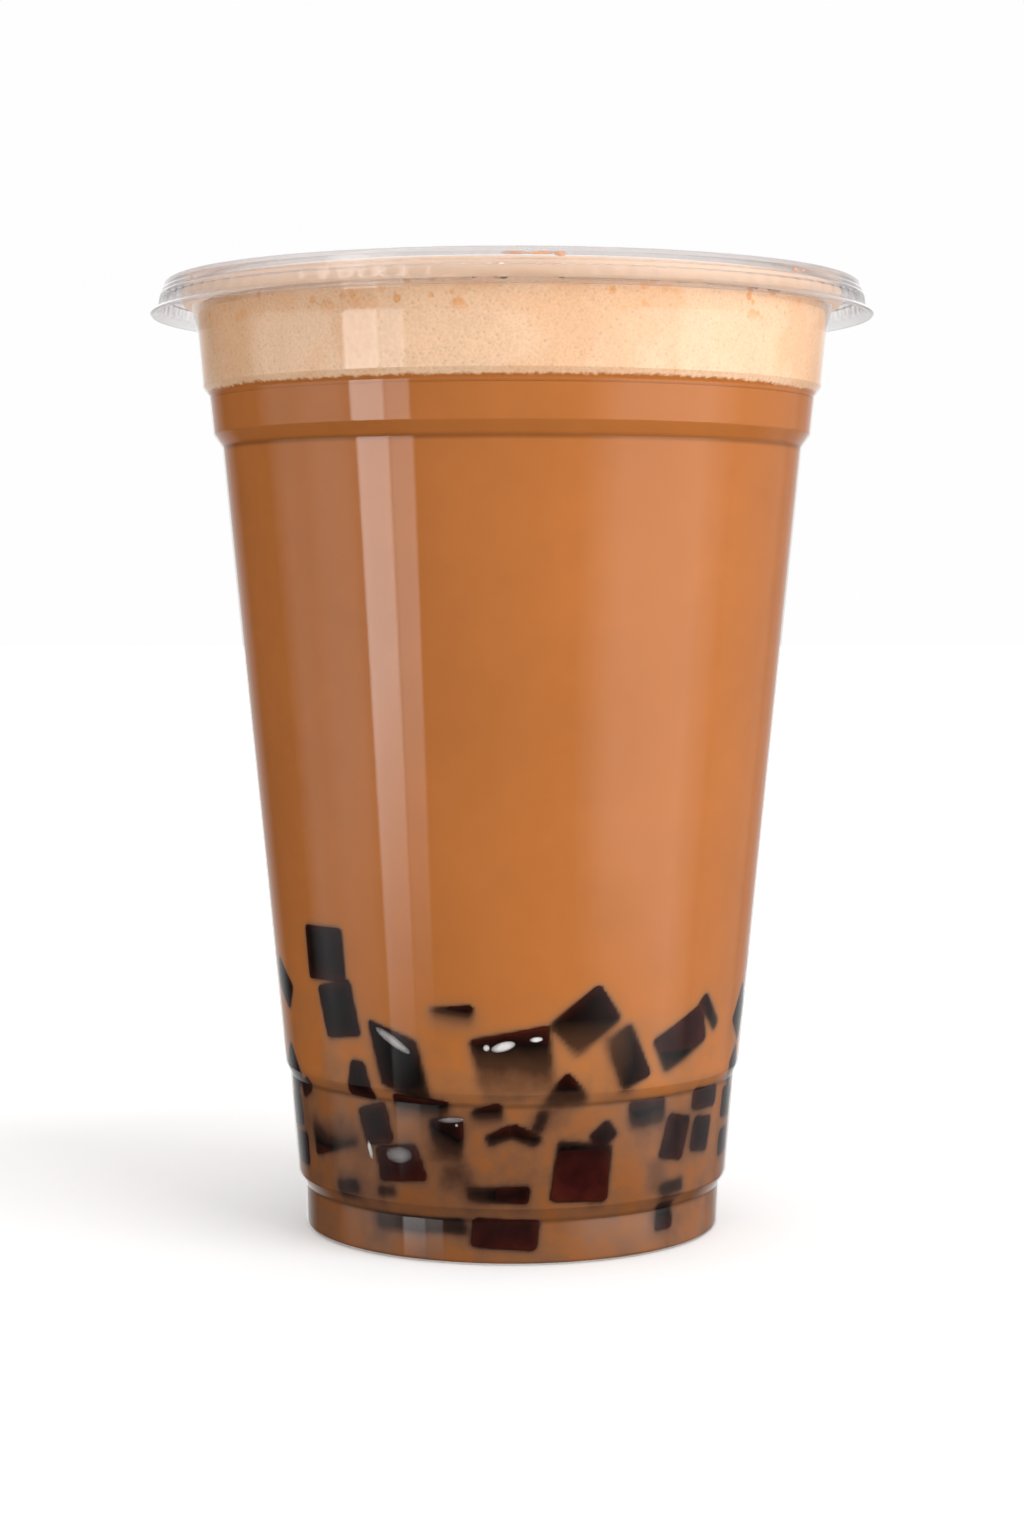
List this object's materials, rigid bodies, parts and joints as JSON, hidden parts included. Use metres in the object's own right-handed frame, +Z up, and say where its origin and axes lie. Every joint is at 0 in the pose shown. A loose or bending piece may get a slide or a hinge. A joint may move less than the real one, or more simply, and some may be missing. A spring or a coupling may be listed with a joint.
{
  "type": "bubble tea",
  "caption": "Takeaway milk tea: a clear stepped plastic cup filled with tea and a deep head of foam, shut by a flat clear lid with a ribbed skirt.",
  "frame": {"origin": "centre of the circle that the cup stands on", "axes": "+Z up along the cup's axis, -Y towards the side that the picture shows, +X to its right"},
  "size_m": [0.1068, 0.1068, 0.1403],
  "materials": {
    "cup_plastic": "thin clear polished plastic",
    "lid_plastic": "thin clear polished plastic",
    "milk_tea": "opaque milky brown liquid",
    "milk_foam": "pale fine-bubbled foam"
  },
  "bodies": {
    "root": {"cup": "cup_plastic", "lid": "lid_plastic", "tea": "milk_tea", "foam": "milk_foam"}
  },
  "joints": []
}
